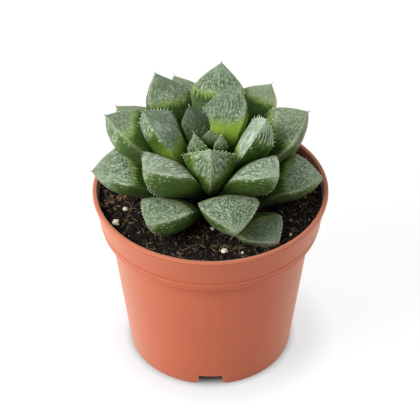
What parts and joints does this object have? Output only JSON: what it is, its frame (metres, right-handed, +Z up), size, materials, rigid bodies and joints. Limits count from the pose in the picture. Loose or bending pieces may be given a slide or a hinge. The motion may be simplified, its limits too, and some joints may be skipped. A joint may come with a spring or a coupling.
{
  "type": "potted haworthia",
  "caption": "Haworthia rosette of thick, blunt, windowed leaves with toothed edges and keels, growing in peat soil in a round tapered nursery pot with a flared collar.",
  "frame": {"origin": "centre of the pot's foot ring, on the surface that the pot stands on", "axes": "+Z up through the pot's centre; -Y towards the front, the side with a foot notch in its middle and the lowest front leaf; +X to the right seen from the front"},
  "size_m": [0.091, 0.09, 0.1092],
  "materials": {
    "pot_plastic": "matte injection-moulded polypropylene in terracotta orange",
    "peat_soil": "dark fibrous peat with white perlite grains",
    "stem_skin": "pale green, fleshy and matte",
    "leaf_skin": "fleshy grey-green with a satin skin and pale lines and dots"
  },
  "bodies": {
    "root": {"pot": "pot_plastic", "soil": "peat_soil", "stem": "stem_skin", "leaf_01": "leaf_skin", "leaf_02": "leaf_skin", "leaf_03": "leaf_skin", "leaf_04": "leaf_skin", "leaf_05": "leaf_skin", "leaf_06": "leaf_skin", "leaf_07": "leaf_skin", "leaf_08": "leaf_skin", "leaf_09": "leaf_skin", "leaf_10": "leaf_skin", "leaf_11": "leaf_skin", "leaf_12": "leaf_skin", "leaf_13": "leaf_skin", "leaf_14": "leaf_skin", "leaf_15": "leaf_skin", "leaf_16": "leaf_skin", "leaf_17": "leaf_skin", "leaf_18": "leaf_skin", "leaf_19": "leaf_skin", "leaf_20": "leaf_skin", "leaf_21": "leaf_skin", "leaf_22": "leaf_skin", "leaf_23": "leaf_skin", "leaf_24": "leaf_skin", "leaf_25": "leaf_skin"}
  },
  "joints": []
}
